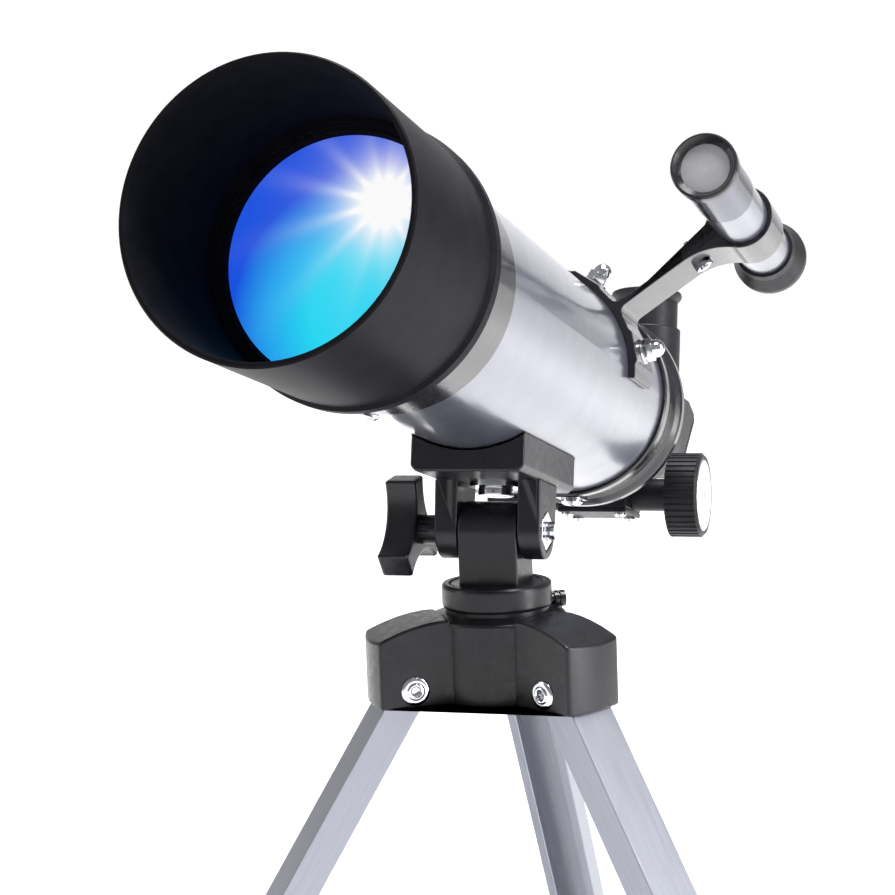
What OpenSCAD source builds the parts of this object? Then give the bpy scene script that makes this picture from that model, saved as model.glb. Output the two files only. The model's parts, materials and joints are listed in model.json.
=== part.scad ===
// Table-top refracting telescope on a folding three-legged stand.
// Origin: on the floor under the pan axis. +Z is up and the objective looks towards -Y.

/* [Main tube] */
// Outer radius of the main tube
tube_r = 36.5; // [32:0.5:46]
// Wall of the main tube
tube_wall = 1.2; // [0.8:0.1:2]
// Length of the main tube between its two cells
tube_len = 198; // [170:1:260]
// Angle of the tube above the horizon
altitude = 14; // [0:1:40]

/* [Objective] */
// Length of the dew shield
shield_len = 66.6; // [60:0.1:90]
// How far the dew shield stands out beyond the cell it slides on
shield_step = 3.1; // [2.6:0.1:6]
// Depth from the shield's front rim to the cell
shield_depth = 52; // [44:0.5:54]
// Wall of the dew shield
shield_wall = 1.8; // [1.2:0.1:2.2]
// How far the cell stands proud of the main tube
cell_step = 0.4; // [0.3:0.1:2]
// Length of the cell that shows behind the dew shield
cell_band = 27.6; // [20:0.1:40]
// Thickness of the front lens at its edge
lens_edge = 4; // [3:0.5:6]

/* [Rear end and focuser] */
// Length of the rear cell
rear_len = 28.7; // [26:0.1:40]
// How far the rear flange stands proud of the main tube
rear_step = 2.8; // [2:0.1:5]
// Outer radius of the drawtube
drawtube_r = 20.5; // [16:0.5:24]
// Wall of the drawtube
drawtube_wall = 1.6; // [1.2:0.1:2]
// Length of the drawtube
drawtube_len = 86; // [80:1:110]
// Length of the focuser body behind the rear flange
body_len = 44; // [40:1:60]
// Wall of the focuser body's barrel
body_wall = 3.7; // [2.5:0.1:5]
// Radius of the focus knobs
knob_r = 16.8; // [12:0.2:20]
// Thickness of the focus knobs
knob_t = 13; // [8:0.5:16]
// Outer face of each focus knob from the middle of the tube
knob_reach = 42.9; // [38:0.1:50]
// Module of the rack and pinion
gear_module = 0.9; // [0.8:0.05:1]
// Teeth on the pinion
pinion_teeth = 12; // [12:1:14]

/* [Eyepiece] */
// Radius of the eyepiece barrel and the diagonal's nose
barrel_r = 12.25; // [10:0.05:15]
// Height of the diagonal's top rim above the optical axis
diagonal_h = 50.8; // [46:0.1:60]
// Height of the eyepiece body above the diagonal
eyepiece_h = 16.7; // [14:0.1:30]
// Width of the diagonal's housing
diagonal_w = 34; // [32:1:40]

/* [Finder] */
// Outer radius of the finder's tube
finder_r = 9.6; // [8:0.1:12]
// Distance from the main tube's surface to the finder's axis
finder_gap = 55.6; // [46:0.1:70]
// Angle of the finder above the horizontal, seen from the front
finder_angle = 35.8; // [20:0.1:70]
// Length of the finder in front of the middle of its bracket
finder_front = 78.4; // [60:0.1:100]
// Length of the finder behind the middle of its bracket
finder_back = 54.6; // [48:0.1:80]
// Width of the bracket along the tube
bracket_w = 25.3; // [18:0.1:30]
// Thickness of the bracket's arm
arm_t = 2.2; // [1.8:0.1:4]

/* [Cradle and head] */
// Width of the cradle
cradle_w = 38.6; // [36:0.2:46]
// Length of the cradle
cradle_len = 63.4; // [50:0.2:80]
// Thickness of the cradle under the middle of the tube
cradle_t = 7.6; // [6:0.1:12]
// Height of the cradle's underside above the tilt axis
ear_drop = 15.8; // [15:0.1:22]
// Thickness of each ear
ear_t = 7.9; // [6.6:0.1:10]
// Width of the post between the ears
post_w = 20.5; // [16:0.5:22]
// Depth of the post, front to back
post_d = 19.4; // [16:0.2:22]
// Height of the tilt axis above the collar
post_h = 17.3; // [16:0.1:30]
// Radius of the tilt and pan screws
screw_r = 3; // [2.5:0.1:3.5]
// Reach of the tilt knob's lobes
lobe_r = 18; // [15:0.5:22]

/* [Tripod] */
// Length of a leg from its pivot to the floor
leg_reach = 300; // [220:5:420]
// Width of a leg
leg_w = 18.5; // [14:0.1:20]
// Depth of a leg
leg_d = 11.2; // [9:0.1:12]
// Wall of a leg
leg_wall = 1.3; // [1:0.1:1.6]
// Angle of an open leg from the vertical
splay = 31.9; // [24:0.1:34]
// Radius of the leg pivots from the pan axis
pivot_r = 31.9; // [30:0.1:36]
// Turn of the stand under the telescope
stand_turn = 1.5; // [-10:0.5:10]
// Outer radius of the hub's collar
collar_r = 18.6; // [17:0.1:20]
// Height of the hub's collar
collar_h = 9.8; // [8:0.1:12]
// Height of the hub's arms
hub_h = 28.6; // [27:0.1:34]
// Wall at each side of a leg
hub_wall = 2.55; // [2:0.05:4]

/* [Hidden] */
$fn = 96;

black = [0.11, 0.11, 0.12];
gloss = [0.07, 0.07, 0.08];
silver = [0.72, 0.73, 0.76];
metal = [0.80, 0.81, 0.83];
rubber = [0.09, 0.09, 0.09];
glass = [0.25, 0.60, 0.95, 0.6];

fit = 0.05;              // radial gap between round pieces that slide or seat in each other
gap = 0.3;               // gap between flat or loose neighbours that move
over = 1;                // how far a cut runs past the face it opens

// Stations along the optical axis, from the shield's front rim
tube_s0 = shield_len + cell_band;
tube_s1 = tube_s0 + tube_len;
flange_s = tube_s1 + rear_len;
body_s1 = flange_s + body_len;
pinion_s = flange_s + 24;
drawtube_s0 = flange_s - 21;
drawtube_s1 = drawtube_s0 + drawtube_len;
holder_len = 14;
holder_s1 = drawtube_s1 + holder_len;
diagonal_s0 = holder_s1 + 2;
diagonal_s = diagonal_s0 + diagonal_w / 2 + 1;
saddle_s = tube_s1 - 43.9;
tilt_s = tube_s0 + 108;
cradle_s = tilt_s - 2.1;

// Radii that follow the tube
tube_ri = tube_r - tube_wall;
spigot_r = tube_ri - fit;
cell_r = tube_r + cell_step;
shield_r = cell_r + shield_step;
lens_r = cell_r - 1.9;
ring_r = cell_r - 1;

// Heights
axis_up = tube_r + cradle_t + ear_drop;
pivot_drop = collar_h + 22.8;
pivot_z = leg_reach * cos(splay);
collar_z = pivot_z + pivot_drop;
tilt_z = collar_z + post_h;

// Gear sizes
pressure = 25;
pitch_r = gear_module * pinion_teeth / 2;
base_r = pitch_r * cos(pressure);
rack_drop = drawtube_r + 5.8;
pinion_drop = rack_drop + pitch_r;
tooth_add = 0.8 * gear_module;
tooth_ded = gear_module;
backlash = 0.12;
tooth_pitch = PI * gear_module;

// Frames of reference ------------------------------------------------------

// Middle of the plan outline, measured from the pan axis; it is the model's origin
middle_x = 2.36;
middle_y = 33.36;

// Origin on the pan axis at a height above the floor
module pan_axis(height) { translate([-middle_x, -middle_y, height]) children(); }

// Origin on the tilt axis, +Y back along the tube, +Z square to it
module scope() { pan_axis(tilt_z) rotate([-altitude, 0, 0]) children(); }

// Origin on the optical axis at a station, +Z towards the rear and +Y down
module along(s) { scope() translate([0, s - tilt_s, axis_up]) rotate([-90, 0, 0]) children(); }

// Origin on the optical axis over a station, +Z up out of the diagonal
module upright(s) { scope() translate([0, s - tilt_s, axis_up]) children(); }

// +Z runs out along a radius of the tube at an angle above the horizontal
module radial(s, angle) { upright(s) rotate([0, 90 - angle, 0]) children(); }

// Origin at the pinion, +Z towards the right-hand knob
module pinion_axis() { upright(pinion_s) translate([0, 0, -pinion_drop]) rotate([0, 90, 0]) children(); }

// Origin on the finder's axis at its bracket, +Z towards the rear
module finder_axis() {
  along(saddle_s) rotate([0, 0, -finder_angle]) translate([tube_r + finder_gap, 0, 0]) children();
}

// Frame of a stand arm: +X outwards, origin on the floor under the pan axis
arm_turns = [210, 330, 90];
module arm(i) { pan_axis(0) rotate([0, 0, arm_turns[i] + stand_turn]) children(); }

// Leg hanging from its pivot at the origin, outer face towards +X
module leg_frame(i) { arm(i) translate([pivot_r, 0, pivot_z]) rotate([0, -splay, 0]) children(); }

// Shared shapes ------------------------------------------------------------

function arc(cx, cy, r, a0, a1, n) =
  [for (i = [0:n]) let (a = a0 + (a1 - a0) * i / n) [cx + r * cos(a), cy + r * sin(a)]];

module tube(ro, ri, z0, z1) {
  translate([0, 0, z0]) difference() {
    cylinder(r = ro, h = z1 - z0);
    translate([0, 0, -over]) cylinder(r = ri, h = z1 - z0 + 2 * over);
  }
}

module rod(r, z0, z1) { translate([0, 0, z0]) cylinder(r = r, h = z1 - z0); }

module hex(across, z0, z1) {
  translate([0, 0, z0]) cylinder(r = across / 2 / cos(30), h = z1 - z0, $fn = 6);
}

// Round ring turned from a list of [radius, station] points
module turned(points) { rotate_extrude($fn = 128) polygon(points); }

// Side profile in [back, up] points, widened along X
module slab(points, x0, x1) {
  translate([x0, 0, 0]) rotate([90, 0, 90]) linear_extrude(x1 - x0) polygon(points);
}

// Side profile of an arm or leg in [out, up] points, widened along Y
module plank(points, width) {
  translate([0, width / 2, 0]) rotate([90, 0, 0]) linear_extrude(width) polygon(points);
}

// Small pan-head screw, head above z = 0
module pan_screw(head_r, head_h, shank_r, shank_l) {
  difference() {
    union() {
      rod(head_r, 0, head_h * 0.5);
      translate([0, 0, head_h * 0.5]) cylinder(r1 = head_r, r2 = head_r * 0.7, h = head_h * 0.5);
      rod(shank_r, -shank_l, 0);
    }
    for (a = [0, 90]) rotate([0, 0, a]) translate([-head_r * 0.55, -head_r * 0.12, head_h * 0.5])
      cube([head_r * 1.1, head_r * 0.24, head_h]);
  }
}

// Ribbed thumbscrew, tip at z = 0 and head from z = reach
module thumbscrew(shank, reach, head_r, head_h) {
  ribs = 14;
  rod(shank, 0, reach);
  translate([0, 0, reach]) linear_extrude(head_h) difference() {
    circle(r = head_r);
    for (i = [0:ribs - 1]) rotate(i * 360 / ribs) translate([head_r + 0.15, 0]) circle(r = 0.5, $fn = 24);
  }
}

// Stand --------------------------------------------------------------------

hub_bottom = -collar_h - hub_h;
arm_w = leg_w + 2 * gap + 2 * hub_wall;
body_r = 23.3;
hub_end = sqrt(pow(pivot_r + 11.5, 2) + pow(arm_w / 2, 2));
arm_drop = 7.1;
pocket_end = pivot_r + 10.5;
rivet_r = 2;
rivet_head = 4.75;
seat_r = collar_r - 2.9;
seat_depth = collar_h + 0.8;
boss_r = 9;
boss_bottom = -collar_h - 14.4;
crown_bow = 1.8;

// Arched line from the collar's foot past the end of an arm
function crown(n) = let (x0 = collar_r, x1 = hub_end + over, span = x1 - x0)
  [for (i = [0:n]) let (t = i / n)
    [x0 + span * t, -collar_h - arm_drop * t + 4 * crown_bow * t * (1 - t)]];

module tripod_hub() color(black) pan_axis(collar_z) rotate([0, 0, stand_turn]) difference() {
  union() {
    turned(concat([[0, hub_bottom], [body_r, hub_bottom], [body_r, -collar_h - 1.2]],
      [[collar_r, -collar_h], [collar_r - 1, -collar_h], [collar_r - 1, 1.4 - collar_h],
      [collar_r, 1.9 - collar_h], [collar_r, -0.7], [collar_r - 0.7, 0], [0, 0]]));
    intersection() {
      rod(hub_end, hub_bottom, -collar_h);
      for (t = arm_turns) rotate([0, 0, t])
        plank(concat([[body_r - 4, hub_bottom - over], [hub_end + over, hub_bottom - over]],
          [for (i = [6:-1:1]) crown(6)[i]], [[body_r - 4, crown(6)[1][1]]]), arm_w);
    }
  }
  rod(seat_r + fit, -seat_depth, over);
  rod(screw_r + fit, hub_bottom - over, 0);
  difference() {
    rod(body_r - hub_wall, hub_bottom - over, -collar_h - 5);
    rod(boss_r, boss_bottom, -collar_h);
  }
  for (t = arm_turns) rotate([0, 0, t]) {
    translate([boss_r + 2, -leg_w / 2 - gap, hub_bottom - over])
      cube([pocket_end - boss_r - 2, leg_w + 2 * gap, hub_h + over - 10.6]);
    translate([pivot_r, 0, -pivot_drop]) rotate([90, 0, 0]) rod(rivet_r + fit, -arm_w, arm_w);
  }
  rotate([0, 0, 30]) translate([0, 0, lock_z]) rotate([0, 90, 0]) {
    rod(lock_r + fit, seat_r - 1, collar_r + 8);
    rod(3.2, collar_r + 1, collar_r + 8);
  }
}

// Tubular rivets through the arms and the legs
module leg_rivets() color(metal) for (i = [0:2]) arm(i) translate([pivot_r, 0, pivot_z])
  rotate([90, 0, 0]) difference() {
    union() {
      rod(rivet_r, -arm_w / 2 - 0.5, arm_w / 2 + 0.5);
      for (m = [0, 1]) mirror([0, 0, m]) translate([0, 0, arm_w / 2]) {
        cylinder(r1 = rivet_head, r2 = rivet_head - 0.5, h = 0.8);
        rod(rivet_head - 1.4, 0, 1.4);
      }
    }
    rod(1.1, -arm_w, arm_w);
    for (m = [0, 1]) mirror([0, 0, m]) translate([0, 0, arm_w / 2 + 0.9]) cylinder(r1 = 1.1, r2 = 2.3, h = 0.6);
  }

// Lipped channel, open towards the pan axis
leg_lip = 3.4;
foot_cover = 20;
sole_min = 4.5;
leg_end = leg_reach - (leg_d / 2 + 1.6) * tan(splay) - sole_min;

module leg(i) color(silver) leg_frame(i) difference() {
  plank([[-leg_d / 2, -leg_end], [leg_d / 2, -leg_end], [leg_d / 2, 5], [leg_d / 2 - 3, 8],
    [-leg_d / 2 + 3, 8], [-leg_d / 2, 5]], leg_w);
  translate([-leg_d / 2 + leg_wall, -leg_w / 2 + leg_wall, -leg_end - over])
    cube([leg_d - 2 * leg_wall, leg_w - 2 * leg_wall, leg_end + 12]);
  translate([-leg_d, -leg_w / 2 + leg_lip, -leg_end - over])
    cube([leg_d, leg_w - 2 * leg_lip, leg_end + 12]);
  rotate([90, 0, 0]) rod(rivet_r + fit, -leg_w, leg_w);
}

module front_left_leg() leg(0);
module front_right_leg() leg(1);
module rear_leg() leg(2);

// Rubber boot whose sole lies flat on the floor with the leg open
function sole(x) = -(leg_reach + x * tan(splay));

module foot(i) color(rubber) leg_frame(i) difference() {
  outer = leg_d / 2 + 1.6;
  top = foot_cover - leg_end;
  plank([[-outer, sole(-outer)], [outer, sole(outer)], [outer, top - 1], [outer - 1, top],
    [1 - outer, top], [-outer, top - 1]], leg_w + 3.2);
  translate([-leg_d / 2, -leg_w / 2, -leg_end]) cube([leg_d, leg_w, leg_end]);
}

module front_left_foot() foot(0);
module front_right_foot() foot(1);
module rear_foot() foot(2);

// Screw that locks the pan axis, between the right and the rear arm
lock_r = 2;
lock_z = -collar_h + 2.2;
lock_tip = seat_r + gap;

module azimuth_lock_screw() color(gloss) pan_axis(collar_z + lock_z)
  rotate([0, 0, 30 + stand_turn]) rotate([0, 90, 0]) {
    rod(lock_r, lock_tip, collar_r + 1.2);
    rod(2.8, collar_r + 1.2, collar_r + 2.6);
    rod(2.2, collar_r + 2.6, collar_r + 3.2);
    rod(2.8, collar_r + 3.2, collar_r + 5);
  }

// Head ---------------------------------------------------------------------

post_foot = -seat_depth + 0.2;
foot_top = -1.4;
gusset = 3.6;

module pan_post() color(black) pan_axis(collar_z) difference() {
  union() {
    rod(seat_r, post_foot, foot_top);
    translate([-post_w / 2, -post_d / 2, foot_top]) cube([post_w, post_d, post_h - foot_top]);
    translate([0, 0, post_h]) rotate([0, 90, 0]) rod(post_d / 2, -post_w / 2, post_w / 2);
    slab([[0, gap], [post_d / 2 + gusset, gap], [post_d / 2, post_h - 5], [0, post_h - 5]],
      -post_w / 2 + 1.5, post_w / 2 - 1.5);
  }
  translate([0, 0, post_h]) rotate([0, 90, 0]) rod(screw_r + fit, -post_w, post_w);
  rod(screw_r + fit, post_foot - over, pan_screw_top);
}

pan_screw_top = post_h - screw_r - 3;
washer_t = 1.2;

module pan_bolt() color(metal) pan_axis(collar_z) {
  rod(screw_r, boss_bottom - washer_t, pan_screw_top - 0.5);
  hex(10, boss_bottom - washer_t - 4, boss_bottom - washer_t);
}

module pan_washer() color(metal) pan_axis(collar_z)
  tube(7.5, screw_r + 0.2, boss_bottom - washer_t, boss_bottom);

// Cradle that the tube is bolted to, with an ear each side of the post
ear_in = post_w / 2 + 0.25;
ear_out = ear_in + ear_t;
ear_r = post_d / 2;
edge = 1.8;
nut_across = 11.6;
nut_t = 5;
cradle_top = axis_up - sqrt(pow(tube_r, 2) - pow(cradle_w / 2, 2));

module tube_cradle() color(black) scope() difference() {
  union() {
    translate([0, cradle_s - tilt_s + cradle_len / 2, 0]) rotate([90, 0, 0]) linear_extrude(cradle_len)
      polygon([[-cradle_w / 2, cradle_top - 0.2], [-cradle_w / 2, ear_drop + edge],
        [edge - cradle_w / 2, ear_drop], [cradle_w / 2 - edge, ear_drop],
        [cradle_w / 2, ear_drop + edge], [cradle_w / 2, cradle_top - 0.2]]);
    for (m = [0, 1]) mirror([m, 0, 0]) {
      slab([[-ear_r, 0], [ear_r, 0], [ear_r + 1.2, ear_drop + 0.5], [-ear_r - 1.2, ear_drop + 0.5]], ear_in, ear_out);
      rotate([0, 90, 0]) rod(ear_r, ear_in, ear_out);
    }
  }
  translate([0, 0, axis_up]) rotate([90, 0, 0]) rod(tube_r + fit, -cradle_len, cradle_len);
  rotate([0, 90, 0]) rod(screw_r + fit, -ear_out - over, ear_out + over);
  rotate([0, 90, 0]) hex(nut_across + 0.2, ear_out - nut_t - 0.2, ear_out + over);
  rod(screw_r + fit, 0, axis_up);
}

bolt_head = 2.8;
inner_floor = axis_up - sqrt(pow(tube_ri, 2) - 36);

module cradle_bolt() color(metal) scope() difference() {
  union() {
    rod(screw_r, ear_drop - 1.5, inner_floor + 7);
    rod(6, ear_drop - 1.5 - bolt_head, ear_drop - 1.5);
  }
  translate([-7, -0.7, ear_drop - 1.5 - bolt_head - over]) cube([14, 1.4, over + 1.2]);
}

module cradle_washer() color(metal) scope() tube(9, screw_r + 0.2, ear_drop - 1.5, ear_drop);

module cradle_nut() color(metal) scope() difference() {
  hex(10, inner_floor + 0.1, inner_floor + 5);
  rod(screw_r + fit, 0, axis_up);
}

// Three-lobed knob, turned so that one lobe points back
knob_in = ear_out + 7.2;
knob_out = knob_in + 10.9;
lobe_w = 10;
scoop = 5.6;

module lobed() {
  turn = 350;
  tip = [for (i = [0:2], side = [-1, 1]) let (a = turn + 120 * i)
    [lobe_r * cos(a) - side * lobe_w / 2 * sin(a), lobe_r * sin(a) + side * lobe_w / 2 * cos(a)]];
  chord = norm(tip[1] - tip[2]);
  bite = (pow(chord / 2, 2) + pow(scoop, 2)) / (2 * scoop);
  difference() {
    polygon(tip);
    for (i = [0:2]) let (p = tip[2 * i + 1], q = tip[(2 * i + 2) % 6], mid = (p + q) / 2)
      translate(mid / norm(mid) * (norm(mid) + bite - scoop)) circle(r = bite);
  }
}

// In this frame +Z points to -X, +X stays along the tube and +Y is up
module knob_axis() scope() rotate([90, 0, -90]) mirror([1, 0, 0]) children();

module tilt_knob() color(black) knob_axis() difference() {
  union() {
    translate([0, 0, knob_in]) linear_extrude(knob_out - knob_in) lobed();
    rod(5, ear_out + 0.4, knob_in);
  }
  rod(screw_r + fit, 0, knob_out - 3);
}

screw_end = 3;

module tilt_screw() color(metal) knob_axis() rod(screw_r, -ear_out - screw_end, knob_out - 3.5);

module tilt_nut() color(metal) scope() rotate([0, 90, 0]) difference() {
  hex(nut_across, ear_out - nut_t, ear_out);
  rod(screw_r + fit, 0, ear_out + over);
}

// Objective ----------------------------------------------------------------

shield_ri = shield_r - shield_wall;
ring_t = 3;

module dew_shield() color(black) along(0) turned([[shield_ri, 0.8], [shield_ri + 0.4, 0],
  [shield_r - 0.5, 0], [shield_r, 0.5], [shield_r, shield_len - 6], [shield_r + 1.1, shield_len - 4.6],
  [shield_r + 1.1, shield_len - 0.6], [shield_r + 0.5, shield_len], [cell_r + fit, shield_len],
  [cell_r + fit, shield_depth - 2], [shield_ri, shield_depth - 2]]);

lens_s = shield_depth + ring_t;
spacer_t = 0.8;
front_sag = 2.5;
middle_sag = 2.2;
front_curve = (pow(lens_r, 2) + pow(front_sag, 2)) / (2 * front_sag);
middle_curve = (pow(lens_r, 2) + pow(middle_sag, 2)) / (2 * middle_sag);
middle_s = lens_s + lens_edge + middle_sag;
seat_s = lens_s + lens_edge + 7.2;

module objective_cell() color(gloss) along(0) difference() {
  turned([[ring_r + fit, shield_depth], [cell_r, shield_depth], [cell_r, tube_s0], [spigot_r, tube_s0],
    [spigot_r, tube_s0 + 16], [lens_r - 1.5, tube_s0 + 16], [lens_r - 1.5, seat_s], [lens_r + fit, seat_s],
    [lens_r + fit, lens_s], [ring_r + fit, lens_s]]);
  cell_screw_holes();
}

function dome(r, curve) = curve - sqrt(pow(curve, 2) - pow(r, 2));
lens_steps = 12;

module front_lens() color(glass) along(0) turned(concat(
  [for (i = [0:lens_steps]) let (r = lens_r * i / lens_steps) [r, lens_s - front_sag + dome(r, front_curve)]],
  [for (i = [lens_steps:-1:0]) let (r = lens_r * i / lens_steps) [r, middle_s - dome(r, middle_curve)]]));

module rear_lens() color(glass) along(0) turned(concat(
  [for (i = [0:lens_steps]) let (r = lens_r * i / lens_steps) [r, middle_s + spacer_t + 0.2 - dome(r, middle_curve)]],
  [[lens_r, seat_s - 0.1], [0, seat_s - 0.1]]));

module lens_spacer() color(gloss) along(0)
  tube(lens_r, lens_r - 1, lens_s + lens_edge + 0.15, lens_s + lens_edge + spacer_t);

module lens_retaining_ring() color(gloss) along(0)
  turned([[lens_r - 0.6, lens_s - 0.2], [ring_r, lens_s - 0.2], [ring_r, shield_depth + 0.4],
    [ring_r - 0.8, shield_depth + 0.4], [lens_r - 0.6, lens_s - 0.8]]);

// Screws that hold the objective cell in the tube
cell_screws = [256, 76];
cell_screw_s = tube_s0 + 8;

module cell_screw_holes() for (a = cell_screws) translate([0, 0, cell_screw_s])
  rotate([0, 0, -a]) rotate([0, 90, 0]) rod(1.5 + fit, 0, tube_r + 5);

module front_cell_screws() color(metal) for (a = cell_screws)
  radial(cell_screw_s, a) translate([0, 0, tube_r + 0.1]) pan_screw(3, 1.6, 1.5, 3.2);

// Tube ---------------------------------------------------------------------

module main_tube() color(silver) along(0) difference() {
  tube(tube_r, tube_ri, tube_s0, tube_s1);
  cell_screw_holes();
  translate([0, 0, tilt_s]) rotate([-90, 0, 0]) rod(screw_r + fit, 0, tube_r + over);
  bracket_holes();
}

module tube_baffles() color(black) along(0) for (b = [[0.3, 0.76], [0.68, 0.62]]) {
  s = tube_s0 + tube_len * b[0];
  turned([[spigot_r * b[1], s], [spigot_r, s], [spigot_r, s + 7], [spigot_r - 1.2, s + 7],
    [spigot_r - 1.2, s + 1.2], [spigot_r * b[1], s + 1.2]]);
}

flange_r = tube_r + rear_step;
cell_wall = 1.7;
mouth_r = drawtube_r + 1;
rack_w = 6;
slot_w = rack_w + 0.8;
rear_screws = [270, 90];
rear_screw_s = tube_s1 + 9.5;

module rear_cell() color(gloss) along(0) difference() {
  union() {
    turned([[spigot_r - cell_wall, tube_s1 - 12], [spigot_r, tube_s1 - 12], [spigot_r, tube_s1],
      [tube_r + 1, tube_s1], [tube_r + 1.6, tube_s1 + 0.8], [tube_r + 1.6, tube_s1 + 5.4],
      [tube_r + 0.9, tube_s1 + 6.4], [tube_r - 0.2, tube_s1 + 7.4], [tube_r - 0.3, flange_s - 11],
      [tube_r + 0.8, flange_s - 8.4], [flange_r - 0.6, flange_s - 6.6], [flange_r, flange_s - 5.4],
      [flange_r, flange_s - 1.6], [flange_r - 1, flange_s], [mouth_r, flange_s],
      [mouth_r, flange_s - 3], [spigot_r - cell_wall, flange_s - 3]]);
    for (a = rear_screws) rotate([0, 0, -a]) translate([tube_r - 0.6, -5, tube_s1 + 1]) cube([2.6, 10, 13]);
  }
  translate([-slot_w / 2, 0, flange_s - 4]) cube([slot_w, rack_drop + 2.4, 5]);
  for (a = rear_screws) translate([0, 0, rear_screw_s]) rotate([0, 0, -a]) rotate([0, 90, 0])
    rod(1.8, 0, tube_r + 5);
}

module rear_cell_screws() color(metal) for (a = rear_screws)
  radial(rear_screw_s, a) translate([0, 0, tube_r + 2]) pan_screw(4.2, 2.2, 1.75, 4.4);

// Focuser ------------------------------------------------------------------

barrel_ro = drawtube_r + fit + body_wall;
box_w = 28;
box_len = 26;
box_bottom = pinion_drop + 6.3;
chamber_w = 15;
shaft_r = 2;
plate_t = 2;
screw_spots = [for (x = [-1, 1], s = [-1, 1]) [x * (box_w / 2 - 3.2), s * (box_len / 2 - 4.5)]];
flange_spots = [30, 150, 210, 330];

module focuser_body() color(black) along(0) difference() {
  union() {
    rod(drawtube_r + 9.5, flange_s, flange_s + 3.5);
    rod(barrel_ro, flange_s, body_s1);
    translate([-box_w / 2, 0, pinion_s - box_len / 2]) cube([box_w, box_bottom, box_len]);
  }
  rod(drawtube_r + fit, flange_s - over, body_s1 + over);
  translate([-slot_w / 2, 0, flange_s - over]) cube([slot_w, rack_drop + 2, body_len + 2 * over]);
  translate([-chamber_w / 2, barrel_ro, pinion_s - box_len / 2 + 3])
    cube([chamber_w, box_bottom, box_len - 6]);
  translate([0, pinion_drop, pinion_s]) rotate([0, 90, 0]) rod(shaft_r + fit, -box_w, box_w);
  for (p = screw_spots) translate([p[0], box_bottom + over, pinion_s + p[1]]) rotate([90, 0, 0]) rod(1.25 + fit, 0, 8);
  for (a = flange_spots) rotate([0, 0, a]) translate([drawtube_r + 6.8, 0, 0]) rod(1.25 + fit, flange_s - over, flange_s + 5);
}

// Four in the flange and four in the pinion cover
module focuser_screws() color(metal) {
  for (a = flange_spots) along(flange_s + 3.5) rotate([0, 0, a]) translate([drawtube_r + 6.8, 0, 0])
    pan_screw(2.4, 1.6, 1.25, 3.4);
  for (p = screw_spots) upright(pinion_s + p[1]) translate([p[0], 0, -box_bottom - plate_t])
    rotate([180, 0, 0]) pan_screw(2.4, 1.6, 1.25, 8);
}

module pinion_cover() color(black) along(0) difference() {
  translate([-box_w / 2, box_bottom, pinion_s - box_len / 2]) cube([box_w, plate_t, box_len]);
  for (p = screw_spots) translate([p[0], box_bottom - over, pinion_s + p[1]]) rotate([-90, 0, 0]) rod(1.25 + fit, 0, 5);
}

module drawtube() color(metal) along(0) tube(drawtube_r, drawtube_r - drawtube_wall, drawtube_s0, drawtube_s1);

rack_teeth = 20;

module focus_rack() color(black) along(0) difference() {
  half = tooth_pitch / 4 - backlash / 4;
  lean = tan(pressure);
  foot_h = rack_drop - tooth_ded;
  start = pinion_s - tooth_pitch * (rack_teeth - 5.5);  // the pinion meets a gap
  union() {
    translate([-rack_w / 2, drawtube_r - 2, start - tooth_pitch / 2])
      cube([rack_w, foot_h - drawtube_r + 2, tooth_pitch * rack_teeth]);
    for (i = [0:rack_teeth - 1]) translate([-rack_w / 2, rack_drop, start + i * tooth_pitch])
      rotate([90, 0, 90]) linear_extrude(rack_w) polygon([[-tooth_ded - 0.2, half + (tooth_ded + 0.2) * lean],
        [tooth_add, half - tooth_add * lean], [tooth_add, -half + tooth_add * lean],
        [-tooth_ded - 0.2, -half - (tooth_ded + 0.2) * lean]]);
  }
  rod(drawtube_r + 0.01, 0, body_s1 + 100);
}

function involute(a) = tan(a) * 180 / PI - a;
function flank(r) = 90 / pinion_teeth - backlash / 4 / pitch_r * 180 / PI
  + involute(pressure) - involute(acos(min(1, base_r / r)));

module gear() {
  tip_r = pitch_r + tooth_add;
  root_r = pitch_r - tooth_ded - 0.1;
  radii = [root_r, for (k = [0:4]) base_r + (tip_r - base_r) * k / 4];
  polygon([for (i = [0:pinion_teeth - 1], side = [-1, 1], k = [0:5]) let (
    r = radii[side < 0 ? k : 5 - k], a = i * 360 / pinion_teeth + side * flank(max(r, base_r)))
    [r * cos(a), r * sin(a)]]);
}

// Gear on the shaft that joins the two knobs, one tooth pointing straight up at the rack
module focus_pinion() color(metal) pinion_axis() {
  rotate([0, 0, 180]) translate([0, 0, -rack_w / 2]) linear_extrude(rack_w) gear();
  rod(shaft_r, 0.5 - knob_reach + knob_t / 2, knob_reach - knob_t / 2 - 0.5);
}

cap_r = knob_r - 2.4;
cap_t = 0.9;
knob_ribs = 40;

module focus_knob() color(black) {
  difference() {
    union() {
      translate([0, 0, knob_reach - knob_t]) linear_extrude(knob_t - 1) difference() {
        circle(r = knob_r);
        for (i = [0:knob_ribs - 1]) rotate(i * 360 / knob_ribs) translate([knob_r + 0.2, 0]) circle(r = 0.7, $fn = 16);
      }
      translate([0, 0, knob_reach - 1]) cylinder(r1 = knob_r - 0.3, r2 = knob_r - 1.1, h = 1);
      rod(6.5, box_w / 2 + 0.4, knob_reach - knob_t);
    }
    rod(shaft_r + fit, 0, knob_reach - knob_t / 2);
    rod(cap_r + fit, knob_reach - cap_t, knob_reach + over);
  }
}

module focus_knob_right() pinion_axis() focus_knob();
module focus_knob_left() pinion_axis() rotate([180, 0, 0]) focus_knob();

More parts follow.
